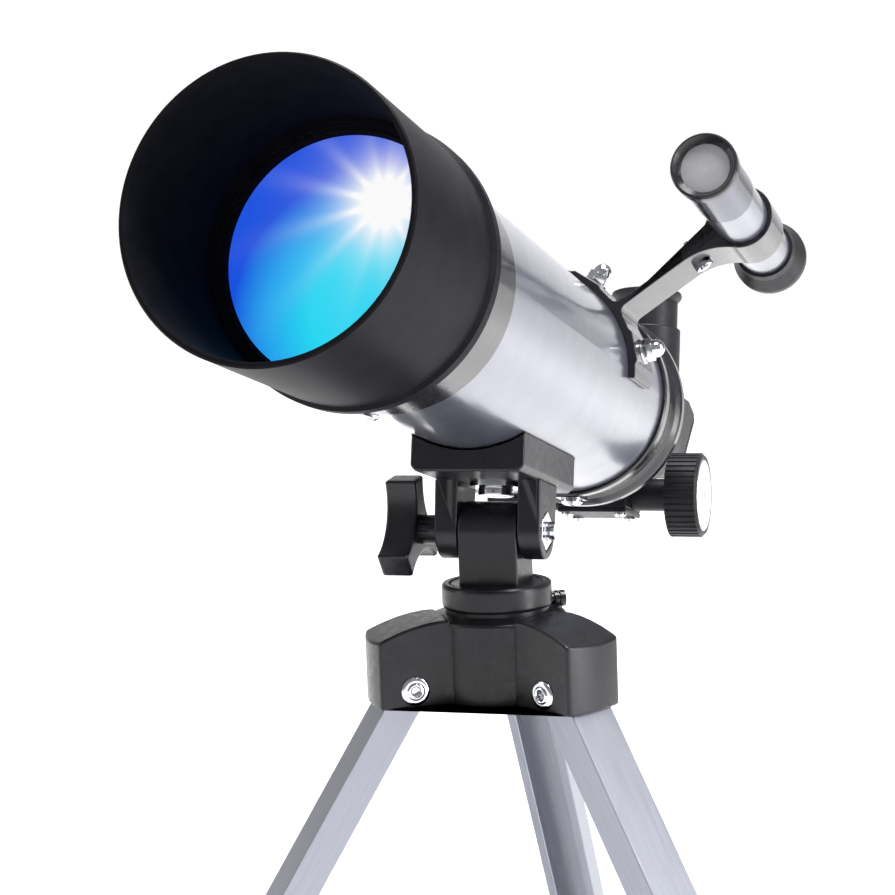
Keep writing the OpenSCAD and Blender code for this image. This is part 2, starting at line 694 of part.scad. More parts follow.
module focus_knob_caps() color([0.9, 0.9, 0.9]) for (t = [0, 180]) pinion_axis() rotate([t, 0, 0])
  turned([[0, knob_reach - cap_t], [cap_r, knob_reach - cap_t], [cap_r, knob_reach - 0.3],
    [cap_r - 0.5, knob_reach + 0.1], [0, knob_reach + 0.3]]);

// Diagonal and eyepiece ----------------------------------------------------

socket_r = barrel_r + fit;
holder_r = drawtube_r + 1.3;
holder_screw_s = holder_s1 - 7;
thumb_r = 1.5;

module diagonal_holder() color(black) along(0) difference() {
  turned([[socket_r, drawtube_s1 - 8], [drawtube_r - drawtube_wall - fit, drawtube_s1 - 8],
    [drawtube_r - drawtube_wall - fit, drawtube_s1], [holder_r, drawtube_s1], [holder_r, holder_s1 - 1],
    [holder_r - 1, holder_s1], [socket_r, holder_s1]]);
  translate([0, 0, holder_screw_s]) rotate([90, 0, 0]) rod(thumb_r + fit, 0, holder_r + over);
}

module holder_thumbscrew() color(metal) radial(holder_screw_s, 90)
  translate([0, 0, barrel_r + gap]) thumbscrew(thumb_r, holder_r - barrel_r + 1.2, 4.2, 5.5);

module diagonal_nose() color(metal) along(0)
  tube(barrel_r, barrel_r - 1.1, drawtube_s1 - 6, diagonal_s0 + 3);

half_d = diagonal_w / 2;
housing_top = half_d + 4;
housing_base = half_d - 1;
collar_ro = barrel_r + 3.05;
cover_t = 2;
back_s = diagonal_s0 + diagonal_w + 13;
back_w = housing_top - 4;
slant_in = back_s - (back_w - 1.2);
cover_in = cover_t * sqrt(2);
hd_wall = 2;

module diagonal_housing() color(black) upright(0) difference() {
  s0 = diagonal_s0;
  union() {
    slab([[s0, -housing_base], [s0, housing_top], [s0 + diagonal_w + 1, housing_top], [back_s, back_w],
      [back_s, back_s - slant_in], [slant_in - housing_base, -housing_base]], -half_d, half_d);
    translate([0, diagonal_s, 0]) rod(collar_ro, 0, diagonal_h);
  }
  slab([[s0 + hd_wall, hd_wall - housing_base], [s0 + hd_wall, housing_top - hd_wall],
    [s0 + diagonal_w, housing_top - hd_wall], [back_s - hd_wall, back_w - hd_wall],
    [back_s - hd_wall, back_s - hd_wall - slant_in - 3],
    [slant_in + hd_wall - housing_base + 3, hd_wall - housing_base]], -half_d + hd_wall, half_d - hd_wall);
  translate([0, diagonal_s, 0]) rod(socket_r, 0, diagonal_h + over);
  translate([0, s0 + hd_wall + over, 0]) rotate([90, 0, 0]) rod(socket_r, 0, 2 * hd_wall + over);
  translate([0, diagonal_s, diagonal_h - 8]) rotate([0, -90, 0]) rod(thumb_r + fit, 0, collar_ro + over);
}

mirror_t = 4;

module diagonal_mirror() color(glass) upright(diagonal_s) rotate([45, 0, 0])
  translate([-half_d + hd_wall + 0.3, -13, -mirror_t]) cube([2 * (half_d - hd_wall) - 0.6, 27, mirror_t]);

// Cover with the pad that the mirror is glued to
pad_back = (slant_in - diagonal_s) / sqrt(2);

module diagonal_cover() color(black) {
  upright(0) slab([[back_s, back_s - slant_in], [back_s, back_s - slant_in - cover_in],
    [slant_in - housing_base + cover_in, -housing_base], [slant_in - housing_base, -housing_base]], -half_d, half_d);
  upright(diagonal_s) rotate([45, 0, 0]) translate([-half_d + hd_wall + 0.3, -9.5, -pad_back - 0.5])
    cube([2 * (half_d - hd_wall) - 0.6, 20, pad_back + 0.5 - mirror_t]);
}

module diagonal_thumbscrew() color(metal) upright(diagonal_s) translate([0, 0, diagonal_h - 8])
  rotate([0, -90, 0]) translate([0, 0, barrel_r + gap]) thumbscrew(thumb_r, 4.8, 3.6, 5);

eye_top = diagonal_h + eyepiece_h;
eye_r = barrel_r + 1.65;

module eyepiece_barrel() color(metal) upright(diagonal_s)
  tube(barrel_r, barrel_r - 1, diagonal_h - 25, diagonal_h + 5);

module eyepiece_body() color(black) upright(diagonal_s) turned([[socket_r, diagonal_h + 0.1],
  [eye_r, diagonal_h + 0.1], [eye_r, eye_top - 4.4], [eye_r + 1.4, eye_top - 2.8], [eye_r + 1.8, eye_top - 1.6],
  [eye_r + 1.4, eye_top - 0.4], [eye_r + 0.6, eye_top], [eye_r - 1.2, eye_top], [7, eye_top - 3.5], [7, eye_top - 4.5],
  [8.05, eye_top - 4.5], [8.05, eye_top - 7], [9.5, eye_top - 7], [9.5, diagonal_h + 5.1], [socket_r, diagonal_h + 5.1]]);

module eye_lens() color(glass) upright(diagonal_s) intersection() {
  rod(8, eye_top - 7, eye_top - 4.6);
  translate([0, 0, eye_top - 4.6 - 24]) sphere(r = 24);
}

module field_lens() color(glass) upright(diagonal_s) intersection() {
  rod(barrel_r - 1 - fit, diagonal_h - 20, diagonal_h - 15);
  translate([0, 0, diagonal_h - 15.5 - 30]) sphere(r = 30);
}

// Finder -------------------------------------------------------------------

finder_wall = 1.2;
finder_ri = finder_r - finder_wall;
f0 = -finder_front;
f1 = finder_back;
front_joint = f0 + 35;
lens_fr = finder_r - 1.6;

module finder_tube() color(silver) finder_axis() tube(finder_r, finder_ri, front_joint, f1 - 6.6);

module finder_front_barrel() color(gloss) finder_axis() turned([[lens_fr - 0.8, front_joint + 8],
  [finder_ri - fit, front_joint + 8], [finder_ri - fit, front_joint], [finder_r + 0.3, front_joint],
  [finder_r + 0.3, f0 + 6.5], [finder_r + 1.3, f0 + 5], [finder_r + 1.3, f0 + 0.8], [finder_r + 0.8, f0],
  [finder_r + 0.4, f0], [lens_fr + 0.05, f0 + 2.6], [lens_fr + 0.05, f0 + 6], [lens_fr - 0.8, f0 + 6]]);

module finder_lens() color(glass) finder_axis() intersection() {
  rod(lens_fr, f0 + 2, f0 + 5.95);
  translate([0, 0, f0 + 2.7 + 60]) sphere(r = 60);
}

module finder_eyepiece() color(gloss) finder_axis() turned([[finder_r + fit, f1 - 17],
  [finder_r + 1.1, f1 - 17], [finder_r + 1.6, f1 - 13], [finder_r + 4, f1 - 4], [finder_r + 4, f1 - 1],
  [finder_r + 3.2, f1], [finder_r - 0.6, f1], [finder_r - 4, f1 - 3.4], [finder_r - 4, f1 - 3.6],
  [finder_r - 2.5, f1 - 3.6], [finder_r - 2.5, f1 - 6.5], [finder_r + fit, f1 - 6.5]]);

module finder_eye_lens() color(glass) finder_axis() intersection() {
  rod(finder_r - 2.55, f1 - 6.4, f1 - 3.7);
  translate([0, 0, f1 - 3.7 - 20]) sphere(r = 20);
}

// Saddle, arm and clamp ring in one moulding
saddle_t = 2.5;
saddle_half = 40;
band_t = 1.6;
web_r = 25;
ring_x = tube_r + finder_gap;
ring_ro = finder_r + fit + band_t;
web_x = ring_x - sqrt(pow(ring_ro + web_r, 2) - pow(arm_t / 2 + web_r, 2));
nut_turn = 23;
clamp_x = web_x + 4.7;
clamp_r = 1.5;
pad_h = 3;
pad_w = 10.4;

module bracket_outline() {
  difference() {
    circle(r = tube_r + saddle_t);
    for (m = [0, 1]) mirror([0, m]) rotate(saddle_half) translate([-2 * tube_r, 0]) square(4 * tube_r);
    translate([-2 * tube_r, -2 * tube_r]) square([2.2 * tube_r, 4 * tube_r]);
  }
  translate([tube_r + 1, -arm_t / 2]) square([ring_x - ring_ro + 1 - tube_r, arm_t]);
  for (m = [0, 1]) mirror([0, m]) {
    difference() {
      polygon([[web_x, 0], [web_x, arm_t / 2 + web_r], [ring_x, 0]]);
      translate([web_x, arm_t / 2 + web_r]) circle(r = web_r);
    }
    difference() {
      translate([tube_r + 1, 0]) square([4.5, arm_t / 2 + 3]);
      translate([tube_r + 5.5, arm_t / 2 + 3]) circle(r = 3);
    }
  }
  translate([ring_x, 0]) circle(r = ring_ro);
  for (t = [-nut_turn, nut_turn]) rotate(t) polygon([[tube_r + 1, -pad_w / 2 - 2.6],
    [tube_r + pad_h, -pad_w / 2], [tube_r + pad_h, pad_w / 2], [tube_r + 1, pad_w / 2 + 2.6]]);
}

module bracket_holes() for (t = [-nut_turn, nut_turn]) translate([0, 0, saddle_s])
  rotate([0, 0, t - finder_angle]) rotate([0, 90, 0]) rod(2 + fit, 0, tube_r + 9);

module finder_bracket() color(gloss) along(saddle_s) rotate([0, 0, -finder_angle]) difference() {
  translate([0, 0, -bracket_w / 2]) linear_extrude(bracket_w) bracket_outline();
  rod(tube_r + fit, -bracket_w, bracket_w);
  translate([ring_x, 0, 0]) rod(finder_r + fit, -bracket_w, bracket_w);
  translate([web_x + 1, -0.4, -bracket_w]) cube([ring_x - web_x - 1, 0.8, 2 * bracket_w]);
  for (t = [-nut_turn, nut_turn]) rotate([0, 0, t]) rotate([0, 90, 0]) rod(2 + fit, 0, tube_r + 9);
  translate([clamp_x, 0, 0]) rotate([90, 0, 0]) rod(clamp_r + fit, -8, 8);
  translate([clamp_x - 3.2, 1.2, -5]) cube([6.4, 6, 10]);
}

module bracket_screws() color(metal) for (t = [-nut_turn, nut_turn])
  radial(saddle_s, finder_angle - t) {
    rod(2, tube_ri - 0.4, tube_r + pad_h + 5);
    rod(3.6, tube_ri - 2.4, tube_ri - 0.3);
  }

// Acorn nuts, each with its washer in one piece
module bracket_nuts() color(metal) for (t = [-nut_turn, nut_turn])
  radial(saddle_s, finder_angle - t) translate([0, 0, tube_r + pad_h]) difference() {
    union() {
      rod(4.6, 0, 0.8);
      hex(7.4, 0.8, 4);
      intersection() {
        rod(3.5, 3.9, 8.2);
        translate([0, 0, 4.2]) sphere(r = 4);
      }
    }
    rod(2 + fit, -over, 5.6);
  }

module finder_clamp_screw() color(metal) along(saddle_s) rotate([0, 0, -finder_angle])
  translate([clamp_x, 0, 0]) rotate([90, 0, 0]) rod(clamp_r, -4.2, 7.8);

module finder_clamp_nut() color(metal) along(saddle_s) rotate([0, 0, -finder_angle])
  translate([clamp_x, 0, 0]) rotate([90, 0, 0]) difference() {
    hex(5.5, -3.6, -1.25);
    rod(clamp_r + fit, -5, 0);
  }

tripod_hub();
leg_rivets();
front_left_leg();
front_right_leg();
rear_leg();
front_left_foot();
front_right_foot();
rear_foot();
pan_post();
pan_bolt();
pan_washer();
azimuth_lock_screw();
tube_cradle();
cradle_bolt();
cradle_washer();
cradle_nut();
tilt_knob();
tilt_screw();
tilt_nut();
dew_shield();
objective_cell();
front_lens();
rear_lens();
lens_spacer();
lens_retaining_ring();
main_tube();
tube_baffles();
front_cell_screws();
rear_cell();
rear_cell_screws();
focuser_body();
focuser_screws();
pinion_cover();
drawtube();
focus_rack();
focus_pinion();
focus_knob_left();
focus_knob_right();
focus_knob_caps();
diagonal_holder();
holder_thumbscrew();
diagonal_nose();
diagonal_housing();
diagonal_mirror();
diagonal_cover();
diagonal_thumbscrew();
eyepiece_barrel();
eyepiece_body();
eye_lens();
field_lens();
finder_tube();
finder_front_barrel();
finder_lens();
finder_eyepiece();
finder_eye_lens();
finder_bracket();
bracket_screws();
bracket_nuts();
finder_clamp_screw();
finder_clamp_nut();
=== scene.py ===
import json
import math
import bpy
import bmesh
from mathutils import Matrix, Vector


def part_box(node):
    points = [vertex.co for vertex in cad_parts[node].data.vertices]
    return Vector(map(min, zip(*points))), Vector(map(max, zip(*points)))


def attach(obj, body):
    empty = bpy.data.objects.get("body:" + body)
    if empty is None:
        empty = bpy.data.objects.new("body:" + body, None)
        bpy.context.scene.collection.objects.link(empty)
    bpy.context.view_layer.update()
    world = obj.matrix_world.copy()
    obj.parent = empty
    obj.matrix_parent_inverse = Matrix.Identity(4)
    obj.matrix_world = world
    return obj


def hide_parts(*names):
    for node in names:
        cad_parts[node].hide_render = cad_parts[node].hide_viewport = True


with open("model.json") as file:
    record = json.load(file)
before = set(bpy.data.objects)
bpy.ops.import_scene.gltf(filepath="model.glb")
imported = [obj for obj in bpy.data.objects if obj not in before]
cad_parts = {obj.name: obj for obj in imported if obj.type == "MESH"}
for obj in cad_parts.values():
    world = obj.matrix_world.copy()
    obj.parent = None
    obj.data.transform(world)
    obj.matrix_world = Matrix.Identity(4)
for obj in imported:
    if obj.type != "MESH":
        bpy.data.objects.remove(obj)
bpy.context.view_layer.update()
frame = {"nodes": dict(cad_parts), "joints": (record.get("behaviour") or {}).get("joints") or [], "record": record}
cadNodes = frame["nodes"]
joints = {joint["name"]: joint for joint in frame["joints"]}
mm = 0.001
print("frame loaded:", len(cadNodes), "nodes")

# the telescope's own directions, read from its joints
opticalAxis = Vector(joints["focus"]["axis"]).normalized()      # towards the eyepiece
scopeUp = Vector(joints["eyepiece_slide"]["axis"]).normalized()
scopeSide = Vector((1, 0, 0))
flangeCentre = Vector(joints["focus"]["pos_m"])                 # on the optical axis, at the rear flange
collarTop = Vector((*joints["pan"]["pos_m"][:2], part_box("tripod_hub")[1].z))
legSides = ("front_left", "front_right", "rear")


def nodeCentre(name):
    low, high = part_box(name)
    return (low + high) / 2


# Materials

def startMaterial(name):
    material = bpy.data.materials.new(name)
    material.use_nodes = True
    tree = material.node_tree
    return material, tree, tree.nodes["Principled BSDF"]


def addNode(tree, kind, **values):
    node = tree.nodes.new(kind)
    for key, value in values.items():
        if key in node.inputs:
            node.inputs[key].default_value = value
        else:
            setattr(node, key, value)
    return node


def noise(tree, size, detail=2.0, stretch=(1, 1, 1), turn=(0, 0, 0)):
    place = addNode(tree, "ShaderNodeTexCoord")
    mapping = addNode(tree, "ShaderNodeMapping", vector_type="TEXTURE", Scale=stretch, Rotation=turn)
    cloud = addNode(tree, "ShaderNodeTexNoise", Scale=1 / size, Detail=detail, Roughness=0.6)
    tree.links.new(place.outputs["Object"], mapping.inputs["Vector"])
    tree.links.new(mapping.outputs["Vector"], cloud.inputs["Vector"])
    return cloud.outputs["Fac"]


def tint(tree, shader, factor, dark, light, socket="Base Color"):
    ramp = addNode(tree, "ShaderNodeValToRGB")
    ramp.color_ramp.elements[0].position = 0.3
    ramp.color_ramp.elements[1].position = 0.7
    ramp.color_ramp.elements[0].color = (*dark, 1)
    ramp.color_ramp.elements[1].color = (*light, 1)
    tree.links.new(factor, ramp.inputs["Fac"])
    tree.links.new(ramp.outputs["Color"], shader.inputs[socket])


def spread(tree, shader, factor, low, high, socket="Roughness"):
    span = addNode(tree, "ShaderNodeMapRange")
    span.inputs["From Min"].default_value = 0.3
    span.inputs["From Max"].default_value = 0.7
    span.inputs["To Min"].default_value = low
    span.inputs["To Max"].default_value = high
    tree.links.new(factor, span.inputs["Value"])
    tree.links.new(span.outputs["Result"], shader.inputs[socket])


def bump(tree, shader, factor, height, strength=0.5):
    relief = addNode(tree, "ShaderNodeBump", Strength=strength, Distance=height)
    tree.links.new(factor, relief.inputs["Height"])
    tree.links.new(relief.outputs["Normal"], shader.inputs["Normal"])


def plastic(name, dark, light, rough, grain=0.35 * mm, depth=0.02 * mm, coat=0.0, sheen=0.3):
    material, tree, shader = startMaterial(name)
    fine = noise(tree, grain)
    tint(tree, shader, noise(tree, 9 * mm), dark, light)
    spread(tree, shader, noise(tree, 2.5 * mm), rough - 0.05, rough + 0.06)
    bump(tree, shader, fine, depth)
    shader.inputs["Specular IOR Level"].default_value = sheen
    shader.inputs["Coat Weight"].default_value = coat
    shader.inputs["Coat Roughness"].default_value = 0.12
    return material


def metal(name, dark, light, rough, grain, stretch=(1, 1, 1), turn=(0, 0, 0)):
    material, tree, shader = startMaterial(name)
    streak = noise(tree, grain, 3.0, stretch, turn)
    tint(tree, shader, streak, dark, light)
    spread(tree, shader, streak, rough - 0.04, rough + 0.06)
    bump(tree, shader, streak, 0.004 * mm, 0.3)
    shader.inputs["Metallic"].default_value = 1.0
    return material


legLook = {
    "dark": (0.30, 0.31, 0.35),
    "light": (0.36, 0.37, 0.42),
    "rough": 0.42,
    "grain": 0.35 * mm,
    "stretch": (1, 1, 60),   # the brushed lines run along the leg
}


def legMetal(name, direction):
    turn = direction.to_track_quat("Z", "Y").to_euler()
    return metal(name, legLook["dark"], legLook["light"], legLook["rough"], legLook["grain"],
                 legLook["stretch"], turn)


paintLook = {
    "flake": 0.22 * mm,
    "dark": (0.125, 0.13, 0.172),
    "light": (0.165, 0.17, 0.22),
    "patch": 12 * mm,        # size of the patches that are a little rougher
    "rough": (0.30, 0.36),
    "ripple": 1.6 * mm,
    "rippleDepth": 0.006 * mm,
    "metallic": 0.7,
    "coat": 0.9,
    "coatRough": 0.14,
}


def silverPaint():
    material, tree, shader = startMaterial("silverPaint")
    tint(tree, shader, noise(tree, paintLook["flake"], 1.0), paintLook["dark"], paintLook["light"])
    spread(tree, shader, noise(tree, paintLook["patch"]), *paintLook["rough"])
    bump(tree, shader, noise(tree, paintLook["ripple"], 1.0), paintLook["rippleDepth"], 0.4)
    shader.inputs["Metallic"].default_value = paintLook["metallic"]
    shader.inputs["Coat Weight"].default_value = paintLook["coat"]
    shader.inputs["Coat Roughness"].default_value = paintLook["coatRough"]
    return material


def fromPoint(tree, point):
    place = addNode(tree, "ShaderNodeTexCoord")
    offset = addNode(tree, "ShaderNodeVectorMath", operation="SUBTRACT")
    offset.inputs[1].default_value = point
    tree.links.new(place.outputs["Object"], offset.inputs[0])
    return offset.outputs[0]


def threshold(tree, value, limit):
    step = addNode(tree, "ShaderNodeMath", operation="GREATER_THAN")
    step.inputs[1].default_value = limit
    tree.links.new(value, step.inputs[0])
    return step.outputs[0]


def twoLevels(tree, shader, switch, low, high, socket):
    span = addNode(tree, "ShaderNodeMapRange")
    span.inputs["To Min"].default_value = low
    span.inputs["To Max"].default_value = high
    tree.links.new(switch, span.inputs["Value"])
    tree.links.new(span.outputs["Result"], shader.inputs[socket])


shieldLook = {
    "wall": 39.2 * mm,       # radius between the dull inside and the satin outside
    "inside": (0.82, 0.04),  # roughness and specular level
    "outside": (0.42, 0.03),
    "dark": (0.005, 0.005, 0.0065),
    "light": (0.008, 0.008, 0.010),
}

barrelLook = {
    "bezel": 3.2 * mm,       # depth of the black front ring
    "black": (0.012, 0.012, 0.014),
    "metal": (0.11, 0.11, 0.145),
    "metallic": 0.95,        # of the metal behind the ring
    "rough": (0.17, 0.24),
}


def finderBarrel():
    material, tree, shader = startMaterial("finderBarrel")
    corners = [vert.co.dot(opticalAxis) for vert in cadNodes["finder_front_barrel"].data.vertices]
    depth = addNode(tree, "ShaderNodeVectorMath", operation="DOT_PRODUCT")
    depth.inputs[1].default_value = opticalAxis
    tree.links.new(fromPoint(tree, opticalAxis * min(corners)), depth.inputs[0])
    behind = threshold(tree, depth.outputs["Value"], barrelLook["bezel"])
    shade = addNode(tree, "ShaderNodeMix", data_type="RGBA")
    tree.links.new(behind, shade.inputs["Factor"])
    shade.inputs[6].default_value = (*barrelLook["black"], 1)
    shade.inputs[7].default_value = (*barrelLook["metal"], 1)
    tree.links.new(shade.outputs[2], shader.inputs["Base Color"])
    twoLevels(tree, shader, behind, 0.0, barrelLook["metallic"], "Metallic")
    spread(tree, shader, noise(tree, 0.8 * mm), *barrelLook["rough"])
    bump(tree, shader, noise(tree, 0.5 * mm), 0.003 * mm, 0.3)
    return material


def shieldBlack():
    material, tree, shader = startMaterial("shieldBlack")
    tint(tree, shader, noise(tree, 9 * mm), shieldLook["dark"], shieldLook["light"])
    bump(tree, shader, noise(tree, 0.5 * mm), 0.012 * mm)
    across = addNode(tree, "ShaderNodeVectorMath", operation="CROSS_PRODUCT")
    across.inputs[1].default_value = opticalAxis
    radius = addNode(tree, "ShaderNodeVectorMath", operation="LENGTH")
    tree.links.new(fromPoint(tree, flangeCentre), across.inputs[0])
    tree.links.new(across.outputs[0], radius.inputs[0])
    outside = threshold(tree, radius.outputs["Value"], shieldLook["wall"])
    for slot, socket in enumerate(("Roughness", "Specular IOR Level")):
        twoLevels(tree, shader, outside, shieldLook["inside"][slot], shieldLook["outside"][slot], socket)
    return material


lensLook = {
    "deepBlue": (0.008, 0.085, 0.76),
    "blue": (0.018, 0.40, 0.89),
    "cyan": (0.014, 0.70, 0.92),
    "stops": (0.08, 0.5, 0.95),
    "glareColour": (1.0, 1.0, 1.0),
    "cyanSide": 0.28,        # middle of the cyan, as shares of the lens radius
    "cyanUp": -0.47,
    "cyanFade": (-1.28, 1.62),
    "cloud": 30 * mm,
    "cloudShare": 0.16,
    "glareSide": 0.33,       # middle of the painted glare
    "glareUp": 0.42,
    "rays": (13, 11),        # two counts of rays that beat against each other
    "raySharp": 1.6,
    "rayRest": 0.3,
    "base": 2.718,           # of the three fades below
    "core": -11.0,
    "haze": (-3.8, 0.62),
    "glareStreaks": (-3.4, 0.75),
    "dark": (0.004, 0.012, 0.03),
    "sheen": 0.15,
    "rough": (0.03, 0.06),
    "glow": 0.95,
}


def lensCoatingPaintedGlare():
    low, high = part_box("front_lens")
    centre = (low + high) / 2
    radius = (high.x - low.x) / 2
    material, tree, shader = startMaterial("lensCoatingPaintedGlare")
    link = tree.links.new
    offset = fromPoint(tree, centre)

    def along(direction):
        part = addNode(tree, "ShaderNodeVectorMath", operation="DOT_PRODUCT")
        part.inputs[1].default_value = direction / radius
        link(offset, part.inputs[0])
        return part.outputs["Value"]

    def maths(operation, first, second=None, third=None):
        step = addNode(tree, "ShaderNodeMath", operation=operation)
        for slot, value in enumerate((first, second, third)):
            if value is None:
                continue
            if isinstance(value, (int, float)):
                step.inputs[slot].default_value = value
            else:
                link(value, step.inputs[slot])
        return step.outputs[0]

    def length(across, up):
        squares = maths("ADD", maths("MULTIPLY", across, across), maths("MULTIPLY", up, up))
        return maths("SQRT", squares)

    def wave(angle, count):
        swing = maths("COSINE", maths("MULTIPLY", angle, count))
        return maths("ADD", maths("MULTIPLY", swing, 0.5), 0.5)

    def fade(value, rate, share=None):
        curve = maths("POWER", lensLook["base"], maths("MULTIPLY", value, rate))
        return curve if share is None else maths("MULTIPLY", curve, share)

    # painted glow: the coating's colour, cyan low on the right turning to deep blue at the left and the top, is
    # emitted
    acrossCyan = maths("SUBTRACT", along(scopeSide), lensLook["cyanSide"])
    upCyan = maths("SUBTRACT", along(scopeUp), lensLook["cyanUp"])
    cloud = maths("MULTIPLY", maths("SUBTRACT", noise(tree, lensLook["cloud"]), 0.5), lensLook["cloudShare"])
    shade = maths("ADD", maths("MULTIPLY_ADD", length(acrossCyan, upCyan), *lensLook["cyanFade"]), cloud)
    ramp = addNode(tree, "ShaderNodeValToRGB")
    first, middle, last = lensLook["stops"]
    ramp.color_ramp.elements[0].position = first
    ramp.color_ramp.elements[0].color = (*lensLook["deepBlue"], 1)
    ramp.color_ramp.elements[1].position = last
    ramp.color_ramp.elements[1].color = (*lensLook["cyan"], 1)
    ramp.color_ramp.elements.new(middle).color = (*lensLook["blue"], 1)
    link(shade, ramp.inputs["Fac"])

    # painted highlight: a pale glare with soft rays painted around one point of the coating
    acrossGlare = maths("SUBTRACT", along(scopeSide), lensLook["glareSide"])
    upGlare = maths("SUBTRACT", along(scopeUp), lensLook["glareUp"])
    distance = length(acrossGlare, upGlare)
    angle = maths("ARCTAN2", upGlare, acrossGlare)
    sharp = maths("POWER", wave(angle, lensLook["rays"][0]), lensLook["raySharp"])
    rays = maths("MULTIPLY", sharp, maths("ADD", wave(angle, lensLook["rays"][1]), lensLook["rayRest"]))
    core = fade(maths("MULTIPLY", distance, distance), lensLook["core"])
    haze = fade(distance, *lensLook["haze"])
    glareStreaks = maths("MULTIPLY", rays, fade(distance, *lensLook["glareStreaks"]))
    # core, haze and streaks together make the painted glare
    glare = maths("MINIMUM", maths("ADD", maths("ADD", core, haze), glareStreaks), 1.0)
    blend = addNode(tree, "ShaderNodeMix", data_type="RGBA")
    link(glare, blend.inputs["Factor"])
    link(ramp.outputs["Color"], blend.inputs[6])
    blend.inputs[7].default_value = (*lensLook["glareColour"], 1)
    link(blend.outputs[2], shader.inputs["Emission Color"])
    shader.inputs["Base Color"].default_value = (*lensLook["dark"], 1)
    # painted glow: the coating colour and the painted glare shine as emitted light
    shader.inputs["Emission Strength"].default_value = lensLook["glow"]
    shader.inputs["Specular IOR Level"].default_value = lensLook["sheen"]
    spread(tree, shader, noise(tree, 4 * mm), *lensLook["rough"])
    return material


def clearGlass(name, dark, light):
    material, tree, shader = startMaterial(name)
    tint(tree, shader, noise(tree, 6 * mm), dark, light)
    spread(tree, shader, noise(tree, 3 * mm), 0.03, 0.07)
    shader.inputs["Coat Weight"].default_value = 1.0
    shader.inputs["Coat Roughness"].default_value = 0.03
    return material


finishes = {
    "satinBlack": plastic("satinBlack", (0.008, 0.008, 0.010), (0.013, 0.013, 0.016), 0.42, sheen=0.25),
    "headBlack": plastic("headBlack", (0.006, 0.006, 0.008), (0.010, 0.010, 0.013), 0.32, depth=0.012 * mm,
                         sheen=0.36),
    "shieldBlack": shieldBlack(),
    "glossBlack": plastic("glossBlack", (0.008, 0.008, 0.010), (0.011, 0.011, 0.014), 0.20, 1.2 * mm,
                          0.004 * mm, coat=0.35, sheen=0.4),
    "mattBlack": plastic("mattBlack", (0.005, 0.005, 0.006), (0.009, 0.009, 0.010), 0.8, 0.3 * mm,
                         sheen=0.05),
    "softRubber": plastic("softRubber", (0.014, 0.014, 0.014), (0.022, 0.022, 0.021), 0.68, 0.5 * mm,
                          0.05 * mm),
    "silverPaint": silverPaint(),
    "chromePlate": metal("chromePlate", (0.60, 0.61, 0.64), (0.74, 0.75, 0.78), 0.13, 3 * mm),
    "capSilver": metal("capSilver", (0.86, 0.86, 0.87), (0.93, 0.93, 0.94), 0.30, 0.6 * mm),
    "finderBarrel": finderBarrel(),
    # painted shade for the hollows in the rivet heads, in a dark steel colour
    "paintedRecessShade": metal("paintedRecessShade", (0.05, 0.05, 0.055), (0.08, 0.08, 0.085), 0.4, 0.6 * mm),
    "lensCoatingPaintedGlare": lensCoatingPaintedGlare(),
    "backGlass": clearGlass("backGlass", (0.02, 0.16, 0.30), (0.03, 0.22, 0.38)),
    "paleGlass": clearGlass("paleGlass", (0.34, 0.34, 0.355), (0.37, 0.37, 0.385)),
    "mirrorFilm": metal("mirrorFilm", (0.86, 0.87, 0.88), (0.92, 0.93, 0.94), 0.06, 8 * mm),
}
print("finishes made:", len(finishes))

nodeFinish = {
    "headBlack": ["tripod_hub", "pan_post", "tube_cradle", "tilt_knob"],
    "shieldBlack": ["dew_shield"],
    "satinBlack": ["focuser_body", "pinion_cover", "focus_knob_left", "focus_knob_right", "diagonal_holder",
                   "diagonal_housing", "diagonal_cover", "eyepiece_body", "focus_rack", "finder_eyepiece"],
    "glossBlack": ["objective_cell", "rear_cell", "finder_bracket", "azimuth_lock_screw"],
    "mattBlack": ["lens_retaining_ring", "lens_spacer", "tube_baffles"],
    "finderBarrel": ["finder_front_barrel"],
    "silverPaint": ["main_tube", "finder_tube"],
    "chromePlate": ["leg_rivets", "pan_bolt", "pan_washer", "cradle_bolt", "cradle_washer", "cradle_nut",
                    "tilt_screw", "tilt_nut", "front_cell_screws", "rear_cell_screws", "focuser_screws",
                    "drawtube", "focus_pinion", "holder_thumbscrew", "diagonal_nose", "diagonal_thumbscrew",
                    "eyepiece_barrel", "bracket_screws", "bracket_nuts", "finder_clamp_screw",
                    "finder_clamp_nut"],
    "capSilver": ["focus_knob_caps"],
    "lensCoatingPaintedGlare": ["front_lens"],
    "backGlass": ["rear_lens", "eye_lens", "field_lens", "finder_eye_lens"],
    "paleGlass": ["finder_lens"],
    "mirrorFilm": ["diagonal_mirror"],
    "softRubber": ["front_left_foot", "front_right_foot", "rear_foot"],
}


def finish(piece, material):
    piece.data.materials.clear()
    piece.data.materials.append(material)


for finishName, names in nodeFinish.items():
    for name in names:
        finish(cadNodes[name], finishes[finishName])
for side in legSides:
    pivot = Vector(joints[side + "_leg_fold"]["pos_m"])
    direction = (nodeCentre(side + "_foot") - pivot).normalized()
    finish(cadNodes[side + "_leg"], legMetal(side + "LegMetal", direction))
print("CAD nodes painted")


# Pieces that stand for CAD nodes whose edges and heads need more shape

bodies = frame["record"]["behaviour"]["bodies"]
bodyOf = {node: body for body, members in bodies.items() for node in members}


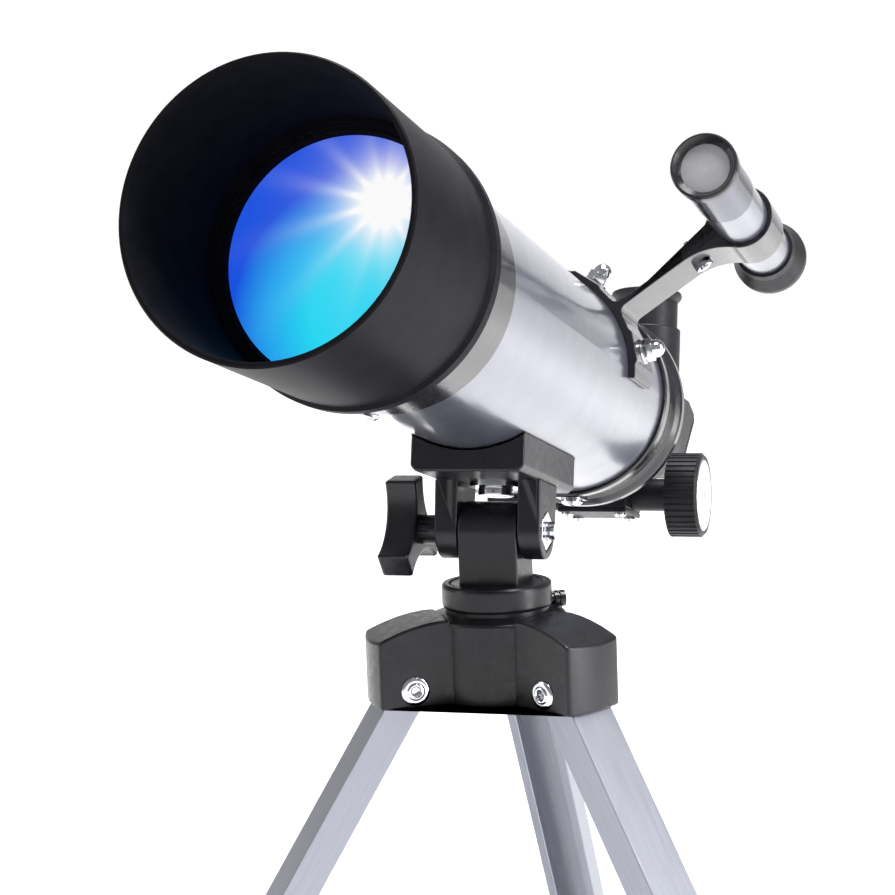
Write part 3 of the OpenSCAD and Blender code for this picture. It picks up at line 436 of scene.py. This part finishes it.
# crease is the angle above which an edge stays sharp
def addPiece(name, bm, material, node, crease=35, flatFaces=False):
    mesh = bpy.data.meshes.new(name)
    bm.to_mesh(mesh)
    bm.free()
    piece = bpy.data.objects.new(name, mesh)
    bpy.context.scene.collection.objects.link(piece)
    finish(piece, material)
    mesh.polygons.foreach_set("use_smooth", [True] * len(mesh.polygons))
    mesh.set_sharp_from_angle(angle=math.radians(crease))
    if flatFaces:
        even = piece.modifiers.new("evenNormals", "WEIGHTED_NORMAL")
        even.keep_sharp = True
        even.weight = 100
    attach(piece, bodyOf[node])
    return piece


edgeWork = {
    "weld": 0.002 * mm,     # corners closer than this become one
    "flat": 0.6,            # flatter than this many degrees, faces become one
    "sharpest": 38,         # only convex corners above this many degrees are rounded
    "segments": 3,
}

# radius of each moulded or pressed edge, in mm
edgeRadius = {
    "tripod_hub": 0.9,
    "pan_post": 0.8,
    "tube_cradle": 0.8,
    "tilt_knob": 1.1,
    "focuser_body": 0.5,
    "pinion_cover": 0.4,
    "diagonal_housing": 0.7,
    "diagonal_cover": 0.4,
    "finder_bracket": 0.35,
    "tilt_nut": 0.3,
    "cradle_bolt": 0.4,
    "pan_bolt": 0.4,
    "front_left_leg": 0.45,
    "front_right_leg": 0.45,
    "rear_leg": 0.45,
    "front_left_foot": 1.2,
    "front_right_foot": 1.2,
    "rear_foot": 1.2,
}


# the top of the post's foot, a little below the collar's top, is raised towards it
seatLift = {"from": 1.4 * mm, "by": 1.15 * mm, "within": 0.1 * mm}


def roundEdges(node, radius):
    bm = bmesh.new()
    bm.from_mesh(cadNodes[node].data)
    bmesh.ops.remove_doubles(bm, verts=bm.verts, dist=edgeWork["weld"])
    bmesh.ops.dissolve_limit(bm, angle_limit=math.radians(edgeWork["flat"]), verts=bm.verts, edges=bm.edges)
    if node == "pan_post":
        for vert in bm.verts:
            if abs(vert.co.z - collarTop.z + seatLift["from"]) < seatLift["within"]:
                vert.co.z += seatLift["by"]
    sharpest = math.radians(edgeWork["sharpest"])
    corners = [edge for edge in bm.edges if edge.is_manifold and edge.calc_face_angle_signed() > sharpest]
    bmesh.ops.bevel(bm, geom=corners, offset=radius * mm, offset_type="OFFSET", profile=0.5,
                    segments=edgeWork["segments"], affect="EDGES", clamp_overlap=False, material=-1)
    words = node.split("_")
    name = words[0] + "".join(word.capitalize() for word in words[1:])
    piece = addPiece(name, bm, cadNodes[node].data.materials[0], node, flatFaces=True)
    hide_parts(node)


for node, radius in edgeRadius.items():
    roundEdges(node, radius)
print("edges rounded:", len(edgeRadius))


def turnProfile(bm, profile, place, steps=48):
    start = [bm.verts.new((radius * mm, 0, height * mm)) for radius, height in profile]
    chain = [bm.edges.new(pair) for pair in zip(start, start[1:])]
    before = set(bm.verts) - set(start)
    bmesh.ops.spin(bm, geom=start + chain, cent=(0, 0, 0), axis=(0, 0, 1), dvec=(0, 0, 0), angle=math.tau,
                   steps=steps, use_merge=True)
    made = [vert for vert in bm.verts if vert not in before]
    bmesh.ops.transform(bm, matrix=place, verts=made)
    bmesh.ops.remove_doubles(bm, verts=made, dist=0.001 * mm)


def axisPlace(point, direction):
    return Matrix.Translation(point) @ direction.to_track_quat("Z", "Y").to_matrix().to_4x4()


rivet = {
    "seat": 12.1,          # from the middle of an arm to its side
    "recess": 1.62,        # radius of the hollow in the head, painted dark inside as shade
    "recessTop": 13.4,     # from the middle of an arm
    "stem": 1.95,          # radius
    "stemShort": 3.0,      # the stem ends this far inside each seat
    "profile": [(0, -1.2), (1.45, -1.2), (1.5, 0.9), (1.7, 1.3), (2.2, 1.5), (2.7, 1.35), (3.05, 0.85),
                (3.6, 0.9), (4.3, 0.75), (4.75, 0.45), (4.9, 0.1), (4.8, -0.1), (2.0, -0.1), (2.0, -3.0),
                (0, -3.0)],
}


def makeRivets():
    bm = bmesh.new()
    pins = [(Vector(joints[side + "_leg_fold"]["pos_m"]), Vector(joints[side + "_leg_fold"]["axis"]))
            for side in legSides]
    half = rivet["seat"] - rivet["stemShort"]
    for pivot, axis in pins:
        for way in (1, -1):
            turnProfile(bm, rivet["profile"], axisPlace(pivot + axis * way * rivet["seat"] * mm, axis * way))
        stem = [(0, -half), (rivet["stem"], -half), (rivet["stem"], half), (0, half)]
        turnProfile(bm, stem, axisPlace(pivot, axis), 24)
    bmesh.ops.recalc_face_normals(bm, faces=bm.faces)
    # faces inside each head's hollow take the painted shade
    for face in bm.faces:
        for pivot, axis in pins:
            arm = face.calc_center_median() - pivot
            along = arm.dot(axis)
            inside = (arm - axis * along).length < rivet["recess"] * mm
            if inside and abs(along) < rivet["recessTop"] * mm:
                face.material_index = 1
    piece = addPiece("legRivets", bm, finishes["chromePlate"], "leg_rivets", 50)
    piece.data.materials.append(finishes["paintedRecessShade"])
    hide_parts("leg_rivets")


makeRivets()

acorn = {
    "angles": (58.8, 12.8),        # above the horizontal, seen from the front
    "seat": 39.5,                  # from the tube's axis
    "across": 7.4,
    "height": 3.4,
    "washerTop": 0.8,
    "edge": 0.3,
    "washer": [(0, 0), (4.6, 0), (4.7, 0.2), (4.6, 0.7), (4.4, 0.8), (0, 0.8)],
    "dome": [(3.3, 3.9), (3.35, 4.6), (3.1, 5.9), (2.5, 7.1), (1.6, 7.9), (0.7, 8.25), (0, 8.3)],
}


def makeAcornNuts():
    bm = bmesh.new()
    station = (nodeCentre("bracket_nuts") - flangeCentre).dot(opticalAxis)
    corner = acorn["across"] / 2 / math.cos(math.pi / 6) * mm
    middle = Matrix.Translation((0, 0, (acorn["washerTop"] + acorn["height"] / 2) * mm))
    for angle in acorn["angles"]:
        out = scopeSide * math.cos(math.radians(angle)) + scopeUp * math.sin(math.radians(angle))
        seat = axisPlace(flangeCentre + opticalAxis * station + out * acorn["seat"] * mm, out)
        turnProfile(bm, acorn["washer"], seat)
        prism = bmesh.ops.create_cone(bm, cap_ends=True, segments=6, radius1=corner, radius2=corner,
                                      depth=acorn["height"] * mm, matrix=seat @ middle)
        edges = {edge for vert in prism["verts"] for edge in vert.link_edges}
        bmesh.ops.bevel(bm, geom=list(edges), offset=acorn["edge"] * mm, offset_type="OFFSET", segments=2,
                        profile=0.5, affect="EDGES", clamp_overlap=True, material=-1)
        turnProfile(bm, acorn["dome"], seat)
    bmesh.ops.recalc_face_normals(bm, faces=bm.faces)
    piece = addPiece("acornNuts", bm, finishes["chromePlate"], "bracket_nuts")
    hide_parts("bracket_nuts")


makeAcornNuts()
print("rivets and acorn nuts made")


# Camera, lights and floor

cameraPlace = {
    "offset": Vector((0.1979, -0.6372, 0.1146)),   # from the collar's top
    "forward": Vector((-0.3161, 0.9432, -0.1025)),
    "up": Vector((0.003, 0.109, 0.994)),
    "lens": 80.4,
    "sensor": 36,
}


def makeCamera():
    data = bpy.data.cameras.new("camera")
    data.lens = cameraPlace["lens"]
    data.sensor_width = cameraPlace["sensor"]
    camera = bpy.data.objects.new("camera", data)
    bpy.context.scene.collection.objects.link(camera)
    back = -cameraPlace["forward"].normalized()
    right = cameraPlace["up"].cross(back).normalized()
    up = back.cross(right)
    turn = Matrix((right, up, back)).transposed().to_4x4()
    camera.matrix_world = Matrix.Translation(collarTop + cameraPlace["offset"]) @ turn
    bpy.context.scene.camera = camera


def softBox(name, place, target, width, height, power):
    data = bpy.data.lights.new(name, "AREA")
    data.shape = "RECTANGLE"
    data.size = width
    data.size_y = height
    data.energy = power
    box = bpy.data.objects.new(name, data)
    bpy.context.scene.collection.objects.link(box)
    box.location = place
    box.rotation_mode = "QUATERNION"
    box.rotation_quaternion = (target - Vector(place)).to_track_quat("-Z", "Y")


studio = {
    "backdrop": Vector((-0.3161, 0.9432, -0.06)),   # the white backdrop lies this way
    "fade": (0.80, 0.93),                           # from the dim room to the backdrop, as cosines
    "level": (0.34, 1.06),
    "colour": (0.98, 0.985, 1),
    "aim": 0.08,                                    # the lamps point this far above the collar
    "lamps": {                                      # place, width, height and watts
        "overhead": ((0.25, 0.05, 1.5), 1.1, 0.6, 40),
        "leftPanel": ((-1.2, -0.5, 0.7), 0.35, 1.1, 3),
        "rightPanel": ((1.3, -0.1, 0.6), 0.45, 1.2, 16),
    },
    "floorHalf": 6,                                 # half the floor's width
    "floorFade": (0.45, 1.1),                       # metres from the middle over which the floor brightens
    "floorGlow": (0.0, 0.85),
    "floorDark": (0.93, 0.93, 0.94),
    "floorLight": (0.95, 0.95, 0.95),
}


def smoothSpan(tree, ends, levels):
    span = addNode(tree, "ShaderNodeMapRange", interpolation_type="SMOOTHSTEP")
    for socket, value in zip(("From Min", "From Max", "To Min", "To Max"), ends + levels):
        span.inputs[socket].default_value = value
    return span


def makeStudio():
    world = bpy.data.worlds.new("studio")
    bpy.context.scene.world = world
    world.use_nodes = True
    tree = world.node_tree
    place = addNode(tree, "ShaderNodeTexCoord")
    facing = addNode(tree, "ShaderNodeVectorMath", operation="DOT_PRODUCT")
    facing.inputs[1].default_value = studio["backdrop"].normalized()
    span = smoothSpan(tree, studio["fade"], studio["level"])
    tree.links.new(place.outputs["Generated"], facing.inputs[0])
    tree.links.new(facing.outputs["Value"], span.inputs["Value"])
    tree.links.new(span.outputs["Result"], tree.nodes["Background"].inputs["Strength"])
    tree.nodes["Background"].inputs["Color"].default_value = (*studio["colour"], 1)
    target = collarTop + Vector((0, 0, studio["aim"]))
    for name, (spot, width, height, power) in studio["lamps"].items():
        softBox(name, spot, target, width, height, power)


def makeFloor():
    bm = bmesh.new()
    bmesh.ops.create_grid(bm, x_segments=8, y_segments=8, size=studio["floorHalf"])
    mesh = bpy.data.meshes.new("floor")
    bm.to_mesh(mesh)
    bm.free()
    floor = bpy.data.objects.new("floor", mesh)
    bpy.context.scene.collection.objects.link(floor)
    material, tree, shader = startMaterial("paleFloor")
    tint(tree, shader, noise(tree, 0.4), studio["floorDark"], studio["floorLight"])
    shader.inputs["Roughness"].default_value = 0.8
    shader.inputs["Specular IOR Level"].default_value = 0.1
    place = addNode(tree, "ShaderNodeTexCoord")
    reach = addNode(tree, "ShaderNodeVectorMath", operation="LENGTH")
    lift = smoothSpan(tree, studio["floorFade"], studio["floorGlow"])
    tree.links.new(place.outputs["Object"], reach.inputs[0])
    tree.links.new(reach.outputs["Value"], lift.inputs["Value"])
    tree.links.new(lift.outputs["Result"], shader.inputs["Emission Strength"])
    shader.inputs["Emission Color"].default_value = (1, 1, 1, 1)
    finish(floor, material)
    bpy.context.scene.view_settings.view_transform = "Standard"


makeCamera()
makeStudio()
makeFloor()
print("camera and studio made")
